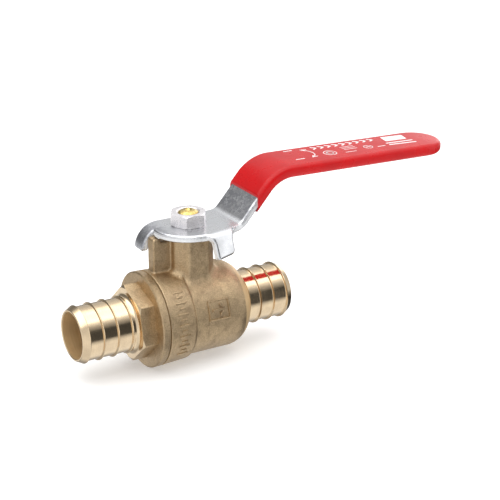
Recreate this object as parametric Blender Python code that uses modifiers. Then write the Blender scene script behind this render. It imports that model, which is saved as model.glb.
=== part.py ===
"""Quarter-turn brass ball valve with a crimp barb on each end, open, its lever along the pipe.

Metres, +Z up the stem. The origin is the ball's centre, where the pipe axis (X) crosses the stem axis (Z).
Water runs from the end adapter at -X to the outlet barb at +X.
"""

import math

import bmesh
import bpy
from mathutils import Matrix, Vector

MM = 0.001
GAP = 0.3 * MM
# How far a cutter runs past what it cuts
PAST = 2 * MM

# Waterway and ball
BORE_RADIUS = 7.2 * MM
PORT_RADIUS = 6.9 * MM
BALL_RADIUS = 11.2 * MM
BALL_SLOT_WIDTH = 3.0 * MM
BALL_SLOT_LENGTH = 8.2 * MM
BALL_SLOT_FLOOR = 8.6 * MM
CAVITY_RADIUS = 11.8 * MM

# Crimp barbs for 3/4 in tube
BARB_RIDGE_RADIUS = 8.9 * MM
BARB_GROOVE_RADIUS = 8.35 * MM
BARB_LIP_RADIUS = 8.0 * MM
BARB_PITCH = 4.7 * MM
BARB_FIRST_RIDGE = 2.5 * MM
BARB_ENTRY = 0.6 * MM
BARB_CREST = 0.2 * MM
BARB_STEP = 0.35 * MM
INLET_END = -39.8 * MM
OUTLET_END = 32.2 * MM
INLET_RIDGES = 4
OUTLET_RIDGES = 3

# Body casting
SEAM = -14.15 * MM
COLLAR_RADIUS = 14.85 * MM
COLLAR_STEP_RADIUS = 14.4 * MM
COLLAR_STEP = -5.1 * MM
CHAMBER_RADIUS = 13.6 * MM
SHOULDER_ARC_RADIUS = 7.2 * MM
SHOULDER_ARC_START = 9.6 * MM
OUTLET_STOP = 16.5 * MM
OUTLET_STOP_RADIUS = 9.5 * MM
SEAT_POCKET_RADIUS = 10.1 * MM
SEAT_POCKET_DEPTH = 11.0 * MM
SEAT_POCKET_MOUTH = 7.4 * MM

# Neck and stop lug
NECK_HALF_WIDTH = 6.75 * MM
NECK_FLAT_HALF = 3.3 * MM
NECK_TOP = 25.25 * MM
NECK_ROOT = 9.0 * MM
LUG_X = (-12.75 * MM, -10.2 * MM)
LUG_Y = (-1.4 * MM, 2.3 * MM)
LUG_TOP = 25.4 * MM
LUG_WEB_TOP = 24.2 * MM
LUG_WEB_END = -5.9 * MM
LUG_ROOT = 13.5 * MM
LUG_CORNER = 0.6 * MM

# End adapter
FLANGE_FACE = -16.8 * MM
FLANGE_BACK = -14.45 * MM
FLANGE_RADIUS = 14.9 * MM
FLANGE_EDGE = 0.5 * MM
HEX_FACE = -21.6 * MM
HEX_RADIUS = 11.9 * MM
HEX_TURN = math.radians(-12)
HEX_ROOT_LENGTH = 0.8 * MM
HEX_ROOT_RADIUS = 9.1 * MM
HEX_CHAMFER_RADIUS = 11.0 * MM
HEX_CHAMFER_SLOPE = 0.7
SPIGOT_RADIUS = 12.5 * MM
SPIGOT_END = -11.0 * MM
NOSE_RADIUS = 11.45 * MM
BODY_STEP = -9.8 * MM

# Stem, packing and gland
STEM_RADIUS = 3.6 * MM
STEM_SHOULDER = 25.4 * MM
STEM_TOP = 32.4 * MM
THREAD_RADIUS = 2.9 * MM
FLATS_RADIUS = 3.5 * MM
FLATS_HALF = 2.6 * MM
FLATS_TOP = 27.6 * MM
STEM_FLANGE = (11.6 * MM, 12.8 * MM)
STEM_FLANGE_RADIUS = 4.7 * MM
TANG_SIZE = (2.4 * MM, 7.4 * MM)
TANG_FOOT = 8.95 * MM
STEM_POCKET_RADIUS = 5.1 * MM
STEM_POCKET_TOP = 14.2 * MM
NECK_BORE_RADIUS = 3.9 * MM
PACKING_FLOOR = 17.4 * MM
PACKING_RING_HEIGHT = 1.6 * MM
PACKING_BORE_RADIUS = 5.2 * MM
GLAND_TOP = 24.8 * MM
GLAND_SLOT = 1.2 * MM

# Lever, from one sheet of steel
SHEET = 2.2 * MM
PLATE_TOP = 27.94 * MM
HUB_RADIUS = 11.4 * MM
HUB_CORNER = (11.2 * MM, -9.3 * MM)
RAMP_FOOT = 14.1 * MM
RAMP_BEND = 5.0 * MM
KNEE = (26.8 * MM, 41.3 * MM)
KNEE_BEND = 12.0 * MM
GRIP_FALL = math.radians(-2.0)
GRIP_END = 91.4 * MM
RAMP_START = 13.6 * MM
RAMP_HALF_WIDTH = 8.2 * MM
GRIP_HALF_WIDTH = 7.6 * MM
STRIP_Y = (2.6 * MM, 7.9 * MM)
STRIP_START = -7.2 * MM
STRIP_RADIUS = 6.9 * MM
TAB_CORNER = (0.43 * MM, -13.15 * MM)
TAB_TURN = math.radians(10.4)
TAB_RANGE = (1.75 * MM, 8.2 * MM)
TAB_TILT = math.radians(14)
TAB_FOOT = 20.8 * MM

# Sleeve and nut
SLEEVE_WALL = 0.85 * MM
SLEEVE_GAP = 0.2 * MM
SLEEVE_START = 19.6 * MM
NUT_ACROSS_FLATS = 10.2 * MM
NUT_FOOT = 28.25 * MM
NUT_TOP = 31.9 * MM
NUT_TURN = math.radians(236.4)

# Roundness of the turned pieces
BODY_STEPS = 48
SMALL_STEPS = 32
ARC_STEPS = 6

BRASS_CAST = ((0.56, 0.42, 0.24), 1.0, 0.42)
BRASS_TURNED = ((0.83, 0.66, 0.38), 1.0, 0.16)
ZINC = ((0.72, 0.73, 0.75), 1.0, 0.3)
VINYL_RED = ((0.72, 0.03, 0.05), 0.0, 0.35)
PTFE = ((0.88, 0.88, 0.85), 0.0, 0.5)


def clear_scene():
    for item in list(bpy.data.objects):
        bpy.data.objects.remove(item)


def new_collection(name):
    group = bpy.data.collections.new(name)
    bpy.context.scene.collection.children.link(group)
    return group


def new_object(name, mesh, group, matrix=None):
    """Links a mesh object; one in the cutters' group is hidden from renders and drawn as wire."""
    item = bpy.data.objects.new(name, mesh)
    group.objects.link(item)
    if matrix is not None:
        item.matrix_world = matrix
    if group.name == "cutters":
        item.hide_render = True
        item.display_type = "WIRE"
    return item


def paint(item, finish):
    """Gives the object its own Principled material."""
    color, metallic, roughness = finish
    surface = bpy.data.materials.new(item.name)
    surface.use_nodes = True
    shader = surface.node_tree.nodes["Principled BSDF"]
    shader.inputs["Base Color"].default_value = (*color, 1.0)
    shader.inputs["Metallic"].default_value = metallic
    shader.inputs["Roughness"].default_value = roughness
    item.data.materials.clear()
    item.data.materials.append(surface)


def turned(name, profile, group, axis="Z", steps=SMALL_STEPS, closed=True):
    """Turns a profile of (along, radius) points about the axis. Its outer side runs from high to low."""
    mesh = bpy.data.meshes.new(name)
    points = [(radius, 0.0, along) for along, radius in profile]
    edges = [(i, i + 1) for i in range(len(points) - 1)]
    if closed:
        edges.append((len(points) - 1, 0))
    mesh.from_pydata(points, edges, [])
    turn = Matrix.Rotation(math.pi / 2, 4, "Y") if axis == "X" else Matrix()
    item = new_object(name, mesh, group, turn)
    screw = item.modifiers.new("turn", "SCREW")
    screw.steps = steps
    screw.render_steps = steps
    screw.use_merge_vertices = True
    screw.merge_threshold = 0.00001
    return item


def ring(name, along, radii, group, axis="Z", steps=SMALL_STEPS):
    """A plain ring or, with an inner radius of zero, a plain cylinder."""
    low, high = along
    inner, outer = radii
    if inner == 0:
        profile = [(high, 0.0), (high, outer), (low, outer), (low, 0.0)]
        return turned(name, profile, group, axis, steps, closed=False)
    profile = [(high, outer), (low, outer), (low, inner), (high, inner)]
    return turned(name, profile, group, axis, steps)


def box(name, low, high, group, matrix=None):
    """A box between two corners, in the matrix's frame."""
    mesh = bpy.data.meshes.new(name)
    cage = bmesh.new()
    bmesh.ops.create_cube(cage, size=1.0)
    size = Vector(high) - Vector(low)
    middle = (Vector(high) + Vector(low)) / 2
    bmesh.ops.scale(cage, vec=size, verts=cage.verts)
    bmesh.ops.translate(cage, vec=middle, verts=cage.verts)
    cage.to_mesh(mesh)
    cage.free()
    return new_object(name, mesh, group, matrix)


def slab(name, outline, low, high, group, upright=False):
    """A flat outline given a thickness from low to high: along Z, or along Y for an upright one."""
    curve = bpy.data.curves.new(name, "CURVE")
    curve.dimensions = "2D"
    curve.fill_mode = "BOTH"
    curve.extrude = (high - low) / 2
    spline = curve.splines.new("POLY")
    spline.points.add(len(outline) - 1)
    for point, (a, b) in zip(spline.points, outline):
        point.co = (a, b, 0.0, 1.0)
    spline.use_cyclic_u = True
    sketch = bpy.data.objects.new(name, curve)
    bpy.context.scene.collection.objects.link(sketch)
    bpy.context.view_layer.update()
    graph = bpy.context.evaluated_depsgraph_get()
    mesh = bpy.data.meshes.new_from_object(sketch.evaluated_get(graph))
    bpy.data.objects.remove(sketch)
    cage = bmesh.new()
    cage.from_mesh(mesh)
    bmesh.ops.remove_doubles(cage, verts=cage.verts, dist=0.000001)
    bmesh.ops.recalc_face_normals(cage, faces=cage.faces)
    cage.to_mesh(mesh)
    cage.free()
    if upright:
        turn = Matrix.Rotation(math.pi / 2, 4, "X")
        place = Matrix.Translation((0, (low + high) / 2, 0)) @ turn
    else:
        place = Matrix.Translation((0, 0, (low + high) / 2))
    return new_object(name, mesh, group, place)


def combine(item, other, operation):
    change = item.modifiers.new(f"{operation.lower()}_{other.name}", "BOOLEAN")
    change.operation = operation
    change.solver = "EXACT"
    change.object = other


def arc(centre, radius, start, end, steps=ARC_STEPS):
    """Points on a circle from one angle to another, in degrees."""
    angles = [math.radians(start + (end - start) * i / steps) for i in range(steps + 1)]
    return [(centre[0] + radius * math.cos(a), centre[1] + radius * math.sin(a)) for a in angles]


def rounded_path(points, radii):
    """A polyline whose inner corners are arcs of the given radii."""
    path = [Vector(points[0])]
    for before, corner, after, radius in zip(points, points[1:], points[2:], radii):
        corner = Vector(corner)
        back = (Vector(before) - corner).normalized()
        ahead = (Vector(after) - corner).normalized()
        half = back.angle(ahead) / 2
        centre = corner + (back + ahead).normalized() * (radius / math.sin(half))
        first = corner + back * (radius / math.tan(half)) - centre
        last = corner + ahead * (radius / math.tan(half)) - centre
        sweep = first.angle_signed(last)
        for i in range(ARC_STEPS + 1):
            path.append(centre + Matrix.Rotation(-sweep * i / ARC_STEPS, 2) @ first)
    path.append(Vector(points[-1]))
    return path


def thickened(path, up, down):
    """The closed outline of a path given a thickness to each side."""
    above = []
    below = []
    for i, point in enumerate(path):
        ahead = path[min(i + 1, len(path) - 1)] - path[max(i - 1, 0)]
        side = Vector((-ahead.y, ahead.x)).normalized()
        above.append(tuple(point + side * up))
        below.append(tuple(point - side * down))
    return below + above[::-1]


def barb_profile(end, ridges, toward):
    """(along, radius) points of a barb's outside, from its open end inward. toward is +1 or -1."""
    points = [(end, BARB_LIP_RADIUS)]
    for i in range(ridges):
        ridge = end + toward * (BARB_FIRST_RIDGE + i * BARB_PITCH)
        if i:
            points.append((ridge - toward * (BARB_CREST + BARB_ENTRY), BARB_GROOVE_RADIUS))
        points.append((ridge - toward * BARB_CREST, BARB_RIDGE_RADIUS))
        points.append((ridge, BARB_RIDGE_RADIUS))
        points.append((ridge + toward * BARB_STEP, BARB_GROOVE_RADIUS))
    return points


def body_outside():
    """(along, radius) points of the casting's outside, from the outlet end to the seam."""
    centre = (SHOULDER_ARC_START, CHAMBER_RADIUS - SHOULDER_ARC_RADIUS)
    fall = math.asin((OUTLET_STOP_RADIUS - centre[1]) / SHOULDER_ARC_RADIUS)
    shoulder = arc(centre, SHOULDER_ARC_RADIUS, math.degrees(fall), 90)
    profile = barb_profile(OUTLET_END, OUTLET_RIDGES, -1)
    profile += [(OUTLET_STOP, BARB_GROOVE_RADIUS), (OUTLET_STOP, OUTLET_STOP_RADIUS)]
    profile += shoulder
    profile += [(COLLAR_STEP, CHAMBER_RADIUS), (COLLAR_STEP - GAP, COLLAR_STEP_RADIUS)]
    profile += [(SEAM, COLLAR_RADIUS)]
    return profile


def body_inside():
    """(along, radius) points of the casting's inside, from the outlet end to the seam."""
    return [
        (OUTLET_END, BORE_RADIUS),
        (SEAT_POCKET_DEPTH, BORE_RADIUS),
        (SEAT_POCKET_DEPTH, SEAT_POCKET_RADIUS),
        (SEAT_POCKET_MOUTH, SEAT_POCKET_RADIUS),
        (SEAT_POCKET_MOUTH, CAVITY_RADIUS),
        (BODY_STEP, CAVITY_RADIUS),
        (BODY_STEP, SPIGOT_RADIUS + GAP),
        (SEAM, SPIGOT_RADIUS + GAP),
    ]


def solid_profile(outside):
    """Closes an outside profile on the axis at both ends."""
    return [(outside[0][0], 0.0), *outside, (outside[-1][0], 0.0)]


def past_ends(profile, reach):
    """The same profile with its two ends carried on by reach, so that a cutter passes both faces."""
    first, last = profile[0], profile[-1]
    return [(first[0] + reach, first[1]), *profile[1:-1], (last[0] - reach, last[1])]


def neck_outline():
    wide, flat = NECK_HALF_WIDTH, NECK_FLAT_HALF
    quarter = [(wide, -flat), (wide, flat), (flat, wide), (-flat, wide)]
    return quarter + [(-x, -y) for x, y in quarter]


def lug_outline():
    """The stop lug and its web to the neck, seen from the side. Its root stays inside the wall."""
    left, right = LUG_X
    corner = LUG_CORNER
    return [
        (left, LUG_ROOT),
        (left, LUG_TOP - corner),
        (left + corner, LUG_TOP),
        (right - corner / 2, LUG_TOP),
        (right, LUG_TOP - corner / 2),
        (right, LUG_WEB_TOP),
        (LUG_WEB_END, LUG_WEB_TOP),
        (LUG_WEB_END, LUG_ROOT),
    ]


def make_body(parts, cutters):
    body = turned("valve_body", solid_profile(body_outside()), parts, "X", BODY_STEPS, closed=False)
    neck = slab("neck", neck_outline(), NECK_ROOT, NECK_TOP, cutters)
    lug = slab("lug", lug_outline(), *LUG_Y, cutters, upright=True)
    combine(body, neck, "UNION")
    combine(body, lug, "UNION")
    waterway_profile = solid_profile(past_ends(body_inside(), PAST))
    waterway = turned("waterway", waterway_profile, cutters, "X", BODY_STEPS, closed=False)
    stem_hole = [
        (NECK_TOP + PAST, 0.0),
        (NECK_TOP + PAST, PACKING_BORE_RADIUS),
        (PACKING_FLOOR, PACKING_BORE_RADIUS),
        (PACKING_FLOOR, NECK_BORE_RADIUS),
        (STEM_POCKET_TOP, NECK_BORE_RADIUS),
        (STEM_POCKET_TOP, STEM_POCKET_RADIUS),
        (BALL_SLOT_FLOOR, STEM_POCKET_RADIUS),
        (BALL_SLOT_FLOOR, 0.0),
    ]
    bore = turned("stem_hole", stem_hole, cutters, closed=False)
    combine(body, waterway, "DIFFERENCE")
    combine(body, bore, "DIFFERENCE")
    paint(body, BRASS_CAST)


def make_adapter(parts, cutters):
    barb = barb_profile(INLET_END, INLET_RIDGES, 1)
    outside = [
        (-SEAT_POCKET_MOUTH, NOSE_RADIUS),
        (SPIGOT_END, NOSE_RADIUS),
        (SPIGOT_END, SPIGOT_RADIUS),
        (FLANGE_BACK, SPIGOT_RADIUS),
        (FLANGE_BACK, FLANGE_RADIUS),
        (FLANGE_FACE + FLANGE_EDGE, FLANGE_RADIUS),
        (FLANGE_FACE, FLANGE_RADIUS - FLANGE_EDGE),
        (FLANGE_FACE, HEX_ROOT_RADIUS),
        (HEX_FACE, HEX_ROOT_RADIUS),
        (HEX_FACE - HEX_ROOT_LENGTH, BARB_GROOVE_RADIUS),
        *barb[::-1],
    ]
    adapter = turned("end_adapter", solid_profile(outside), parts, "X", BODY_STEPS, closed=False)
    hexagon = [
        (HEX_RADIUS * math.cos(HEX_TURN + i * math.pi / 3), HEX_RADIUS * math.sin(HEX_TURN + i * math.pi / 3))
        for i in range(6)
    ]
    blank = slab("hex_blank", hexagon, HEX_FACE, FLANGE_FACE + 2 * GAP, cutters)
    # The slab's own X and Z become the world's Z and X, so the first corner starts from +Z.
    to_pipe = Matrix.Rotation(math.pi / 2, 4, "Y") @ Matrix.Rotation(math.pi, 4, "Z")
    blank.matrix_world = to_pipe @ blank.matrix_world
    chamfer_length = (HEX_RADIUS - HEX_CHAMFER_RADIUS) * HEX_CHAMFER_SLOPE
    chamfer = [
        (FLANGE_FACE + PAST, 0.0),
        (FLANGE_FACE + PAST, HEX_RADIUS + PAST),
        (HEX_FACE + chamfer_length, HEX_RADIUS + GAP),
        (HEX_FACE - GAP, HEX_CHAMFER_RADIUS),
        (HEX_FACE - GAP, 0.0),
    ]
    combine(blank, turned("hex_chamfer", chamfer, cutters, "X", BODY_STEPS, closed=False), "INTERSECT")
    combine(adapter, blank, "UNION")
    waterway = [
        (-SEAT_POCKET_MOUTH + PAST, 0.0),
        (-SEAT_POCKET_MOUTH + PAST, SEAT_POCKET_RADIUS),
        (-SEAT_POCKET_DEPTH, SEAT_POCKET_RADIUS),
        (-SEAT_POCKET_DEPTH, BORE_RADIUS),
        (INLET_END - PAST, BORE_RADIUS),
        (INLET_END - PAST, 0.0),
    ]
    combine(adapter, turned("inlet_way", waterway, cutters, "X", BODY_STEPS, closed=False), "DIFFERENCE")
    paint(adapter, BRASS_TURNED)


def make_ball(parts, cutters):
    ball = turned("ball", arc((0, 0), BALL_RADIUS, 0, 180, 20), parts, closed=False)
    port = ring("port", (-2 * BALL_RADIUS, 2 * BALL_RADIUS), (0, PORT_RADIUS), cutters, "X")
    half_slot = (BALL_SLOT_WIDTH / 2, BALL_SLOT_LENGTH / 2)
    slot_low = (-half_slot[0], -half_slot[1], BALL_SLOT_FLOOR)
    slot = box("ball_slot", slot_low, (*half_slot, 2 * BALL_RADIUS), cutters)
    combine(ball, port, "DIFFERENCE")
    combine(ball, slot, "DIFFERENCE")
    paint(ball, BRASS_TURNED)


def make_seat(name, side, parts):
    """A seat ring whose face follows the ball. side is -1 at the inlet and +1 at the outlet."""
    inner, outer = BORE_RADIUS + GAP, SEAT_POCKET_RADIUS - GAP
    face_radius = BALL_RADIUS + GAP
    first = math.degrees(math.asin(inner / face_radius))
    last = math.degrees(math.asin((outer - GAP) / face_radius))
    face = arc((0, 0), face_radius, first, last, 5)
    back = SEAT_POCKET_DEPTH - GAP
    front = face[-1][0]
    profile = [(back, outer), (front, outer), *face[::-1], (back, inner)]
    if side < 0:
        profile = [(-x, r) for x, r in profile][::-1]
    seat = turned(name, profile, parts, "X")
    paint(seat, PTFE)


def make_seal_ring(parts):
    low = SPIGOT_END + GAP
    high = BODY_STEP - GAP
    seal = ring("body_seal_ring", (low, high), (NOSE_RADIUS + GAP, SPIGOT_RADIUS), parts, "X", BODY_STEPS)
    paint(seal, PTFE)


def double_d_outline(radius, half):
    """A round outline with a flat at each side of X."""
    edge = math.degrees(math.acos(half / radius))
    return arc((0, 0), radius, edge, 180 - edge, 8) + arc((0, 0), radius, 180 + edge, 360 - edge, 8)


def make_stem(parts, cutters, lever_pin):
    """The shaft, its flange and its thread are turned; the tang and the flats are joined to it."""
    profile = [
        (STEM_TOP, 0.0),
        (STEM_TOP, THREAD_RADIUS - GAP),
        (STEM_TOP - GAP, THREAD_RADIUS),
        (FLATS_TOP - GAP, THREAD_RADIUS),
        (FLATS_TOP - GAP, FLATS_HALF - GAP),
        (STEM_SHOULDER, FLATS_HALF - GAP),
        (STEM_SHOULDER, STEM_RADIUS),
        (STEM_FLANGE[1], STEM_RADIUS),
        (STEM_FLANGE[1], STEM_FLANGE_RADIUS),
        (STEM_FLANGE[0], STEM_FLANGE_RADIUS),
        (STEM_FLANGE[0], 0.0),
    ]
    stem = turned("stem", profile, parts, closed=False)
    flats = double_d_outline(FLATS_RADIUS, FLATS_HALF)
    flats_block = slab("stem_flats", flats, STEM_SHOULDER - GAP, FLATS_TOP, cutters)
    tang_half = (TANG_SIZE[0] / 2, TANG_SIZE[1] / 2)
    tang_low = (-tang_half[0], -tang_half[1], TANG_FOOT)
    tang = box("stem_tang", tang_low, (*tang_half, STEM_FLANGE[0] + GAP), cutters)
    combine(stem, flats_block, "UNION")
    combine(stem, tang, "UNION")
    stem.parent = lever_pin
    paint(stem, BRASS_TURNED)


def make_neck_rings(parts, cutters):
    """The thrust washer under the neck's shoulder, the packing and the gland that presses it."""
    outer = PACKING_BORE_RADIUS - GAP
    washer_z = (STEM_FLANGE[1] + GAP, STEM_POCKET_TOP - GAP)
    washer = ring("stem_thrust_washer", washer_z, (NECK_BORE_RADIUS, STEM_POCKET_RADIUS - GAP), parts)
    paint(washer, PTFE)
    floor = PACKING_FLOOR + GAP
    for name in ("stem_packing_lower", "stem_packing_upper"):
        packing = ring(name, (floor, floor + PACKING_RING_HEIGHT), (NECK_BORE_RADIUS, outer), parts)
        paint(packing, PTFE)
        floor += PACKING_RING_HEIGHT + GAP
    gland = ring("packing_gland", (floor, GLAND_TOP), (NECK_BORE_RADIUS, outer), parts)
    slot_low = (-outer * 2, -GLAND_SLOT / 2, GLAND_TOP - GLAND_SLOT)
    slot = box("gland_slot", slot_low, (outer * 2, GLAND_SLOT / 2, GLAND_TOP + GLAND_SLOT), cutters)
    combine(gland, slot, "DIFFERENCE")
    paint(gland, BRASS_TURNED)


def lever_line(start=None):
    """The sheet's middle line in the XZ plane, from the hub, or from a place on the ramp, to the tip."""
    middle = PLATE_TOP - SHEET / 2
    tip = (GRIP_END, KNEE[1] + (GRIP_END - KNEE[0]) * math.tan(GRIP_FALL))
    if start is None:
        return rounded_path([(STRIP_START, middle), (RAMP_FOOT, middle), KNEE, tip], [RAMP_BEND, KNEE_BEND])
    rise = (KNEE[1] - middle) / (KNEE[0] - RAMP_FOOT)
    foot = (start, middle + (start - RAMP_FOOT) * rise)
    return rounded_path([foot, KNEE, tip], [KNEE_BEND])


def grip_outline(growth, start):
    """The lever's outline seen from above, from a place on the ramp round the tip and back."""
    half_ramp = RAMP_HALF_WIDTH + growth
    half_grip = GRIP_HALF_WIDTH + growth
    far = [(start, half_ramp), (KNEE[0], half_grip + GAP)]
    tip = arc((GRIP_END + growth - half_grip, 0), half_grip, 90, -90, 12)
    return far + tip + [(x, -y) for x, y in far[::-1]]


def hub_outline():
    """The hub seen from above: the far edge, the strip's root, the hub arc and the tab's fold line."""
    turn = (math.cos(TAB_TURN), math.sin(TAB_TURN))
    fold_length = TAB_RANGE[1] + GAP
    fold_end = (TAB_CORNER[0] + fold_length * turn[0], TAB_CORNER[1] + fold_length * turn[1])
    hub_arc = arc((0, 0), HUB_RADIUS, 178, 268, 12)
    strip_root = [(STRIP_START, STRIP_Y[1]), (STRIP_START, STRIP_Y[0]), (-HUB_RADIUS + GAP, STRIP_Y[0])]
    return strip_root + hub_arc + [TAB_CORNER, fold_end, HUB_CORNER]


def make_lever(parts, cutters, lever_pin):
    outline = hub_outline() + grip_outline(0, RAMP_START)[::-1]
    plan = slab("lever_plan", outline, NECK_TOP - PAST, KNEE[1] + PAST, cutters)
    hub_start = [Vector((-1.2 * HUB_RADIUS, PLATE_TOP - SHEET / 2))]
    side = thickened(hub_start + lever_line()[1:], SHEET / 2, SHEET / 2)
    lever = slab("lever_handle", side, -1.4 * HUB_RADIUS, 1.4 * HUB_RADIUS, parts, upright=True)
    combine(lever, plan, "INTERSECT")

    centre = (STRIP_START, PLATE_TOP - STRIP_RADIUS)
    outer = arc(centre, STRIP_RADIUS, 90, 175, 8)
    inner = arc(centre, STRIP_RADIUS - SHEET, 175, 90, 8)
    root = [(STRIP_START + PAST, PLATE_TOP - SHEET), (STRIP_START + PAST, PLATE_TOP)]
    strip = slab("stop_strip", outer + inner + root, *STRIP_Y, cutters, upright=True)

    tab_frame = (
        Matrix.Translation((*TAB_CORNER, PLATE_TOP - SHEET / 2))
        @ Matrix.Rotation(TAB_TURN, 4, "Z")
        @ Matrix.Rotation(-TAB_TILT, 4, "X")
    )
    drop = (TAB_FOOT - PLATE_TOP + SHEET / 2) / math.cos(TAB_TILT)
    tab = box("stop_tab", (TAB_RANGE[0], 0, drop), (TAB_RANGE[1], SHEET, 0), cutters, tab_frame)
    hole_outline = double_d_outline(FLATS_RADIUS + GAP, FLATS_HALF + GAP)
    hole = slab("stem_flats_hole", hole_outline, NECK_TOP - PAST, NUT_TOP, cutters)
    combine(lever, hole, "DIFFERENCE")
    combine(lever, strip, "UNION")
    combine(lever, tab, "UNION")
    lever.parent = lever_pin
    paint(lever, ZINC)


def grip_solid(name, start, growth, group, cutters):
    """The grip grown evenly all round, from an upright cut across the ramp to the tip."""
    side = thickened(lever_line(start - 2 * SHEET), SHEET / 2 + growth, SHEET / 2 + growth)
    side = [(x + PAST if x > GRIP_END - GAP else x, z) for x, z in side]
    solid = slab(name, side, -2 * RAMP_HALF_WIDTH, 2 * RAMP_HALF_WIDTH, group, upright=True)
    plan = slab(f"{name}_plan", grip_outline(growth, start), NECK_TOP, KNEE[1] * 1.2, cutters)
    combine(solid, plan, "INTERSECT")
    return solid


def make_sleeve(parts, cutters, lever_pin):
    sleeve = grip_solid("handle_sleeve", SLEEVE_START, SLEEVE_WALL, parts, cutters)
    steel = grip_solid("sleeve_hollow", SLEEVE_START - PAST, SLEEVE_GAP, cutters, cutters)
    combine(sleeve, steel, "DIFFERENCE")
    sleeve.parent = lever_pin
    paint(sleeve, VINYL_RED)


def make_nut(parts, cutters, lever_pin):
    corner = NUT_ACROSS_FLATS / math.sqrt(3)
    outline = [
        (corner * math.cos(NUT_TURN + i * math.pi / 3), corner * math.sin(NUT_TURN + i * math.pi / 3))
        for i in range(6)
    ]
    nut = slab("handle_nut", outline, NUT_FOOT, NUT_TOP, parts)
    flat = NUT_ACROSS_FLATS / 2
    chamfer = [
        (NUT_TOP, 0.0),
        (NUT_TOP, flat),
        (NUT_TOP - 2 * GAP, corner + GAP / 3),
        (NUT_FOOT + GAP, corner + GAP / 3),
        (NUT_FOOT, corner - GAP),
        (NUT_FOOT, 0.0),
    ]
    combine(nut, turned("nut_chamfer", chamfer, cutters, closed=False), "INTERSECT")
    hole = [
        (NUT_TOP + GAP, 0.0),
        (NUT_TOP + GAP, THREAD_RADIUS + 4 * GAP),
        (NUT_TOP - 2 * GAP, THREAD_RADIUS + GAP),
        (NUT_FOOT - PAST, THREAD_RADIUS + GAP),
        (NUT_FOOT - PAST, 0.0),
    ]
    combine(nut, turned("nut_hole", hole, cutters, closed=False), "DIFFERENCE")
    nut.parent = lever_pin
    paint(nut, ZINC)


def main():
    clear_scene()
    parts = new_collection("water_shutoff_valve")
    cutters = new_collection("cutters")
    # The lever, its sleeve and nut, and the stem turn together about the stem axis, through the origin.
    lever_pin = bpy.data.objects.new("lever_pin", None)
    parts.objects.link(lever_pin)
    make_body(parts, cutters)
    make_adapter(parts, cutters)
    make_ball(parts, cutters)
    make_seat("inlet_seat", -1, parts)
    make_seat("outlet_seat", 1, parts)
    make_seal_ring(parts)
    make_stem(parts, cutters, lever_pin)
    make_neck_rings(parts, cutters)
    make_lever(parts, cutters, lever_pin)
    make_sleeve(parts, cutters, lever_pin)
    make_nut(parts, cutters, lever_pin)


main()
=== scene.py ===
"""Looks for the quarter-turn brass ball valve.

Lengths are in metres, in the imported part's own frame: +X along the pipe, +Z up the stem, the origin at the
ball's centre. Anchors come from the CAD nodes' boxes; the small shapes round them are named below.
Angles round the pipe are counted from the top (+Z) toward the front (-Y).
"""

import math

import bmesh
import bpy
from mathutils import Matrix, Vector


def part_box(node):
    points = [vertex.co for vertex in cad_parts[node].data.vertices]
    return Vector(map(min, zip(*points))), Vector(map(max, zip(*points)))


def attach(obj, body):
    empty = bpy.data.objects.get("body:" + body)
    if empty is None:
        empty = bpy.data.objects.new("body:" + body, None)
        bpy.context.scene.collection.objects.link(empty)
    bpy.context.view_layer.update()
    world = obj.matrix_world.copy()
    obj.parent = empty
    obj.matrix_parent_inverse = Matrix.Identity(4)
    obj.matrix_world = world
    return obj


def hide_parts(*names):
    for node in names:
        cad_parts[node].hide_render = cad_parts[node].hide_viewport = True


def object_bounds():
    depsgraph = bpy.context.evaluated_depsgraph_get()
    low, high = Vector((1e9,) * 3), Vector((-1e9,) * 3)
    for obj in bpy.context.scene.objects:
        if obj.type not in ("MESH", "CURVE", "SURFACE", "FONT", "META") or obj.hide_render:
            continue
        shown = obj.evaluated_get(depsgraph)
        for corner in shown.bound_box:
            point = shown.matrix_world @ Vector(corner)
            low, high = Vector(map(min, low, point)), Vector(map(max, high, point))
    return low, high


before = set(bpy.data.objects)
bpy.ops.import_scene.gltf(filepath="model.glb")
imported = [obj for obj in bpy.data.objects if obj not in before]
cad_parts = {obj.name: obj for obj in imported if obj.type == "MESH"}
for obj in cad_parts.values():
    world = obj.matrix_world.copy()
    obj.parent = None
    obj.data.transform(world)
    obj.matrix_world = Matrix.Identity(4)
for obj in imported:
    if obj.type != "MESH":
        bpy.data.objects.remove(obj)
CAD_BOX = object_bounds()
MM = 0.001

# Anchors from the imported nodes
CASTING_LOW, CASTING_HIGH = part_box("valve_body")
ADAPTER_LOW, ADAPTER_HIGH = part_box("end_adapter")
SLEEVE_LOW, SLEEVE_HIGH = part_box("handle_sleeve")
NUT_LOW, NUT_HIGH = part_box("handle_nut")
LEVER_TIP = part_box("lever_handle")[1].x
BALL_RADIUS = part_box("ball")[1].y
STEM_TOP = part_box("stem")[1].z
SEAM = CASTING_LOW.x
OUTLET_END = CASTING_HIGH.x
INLET_END = ADAPTER_LOW.x
LUG_TOP = CASTING_HIGH.z
FLANGE_RADIUS = ADAPTER_HIGH.z
NUT_GAP = 0.31 * MM
PLATE_TOP = NUT_LOW.z - NUT_GAP

# Barbs
BORE_RADIUS = 7.2 * MM
RIDGE_RADIUS = 8.9 * MM
GROOVE_RADIUS = 8.35 * MM
LIP_RADIUS = 8.0 * MM
RIDGE_PITCH = 4.7 * MM
FIRST_RIDGE = 2.5 * MM
INLET_RIDGES = 4
OUTLET_RIDGES = 3

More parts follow.
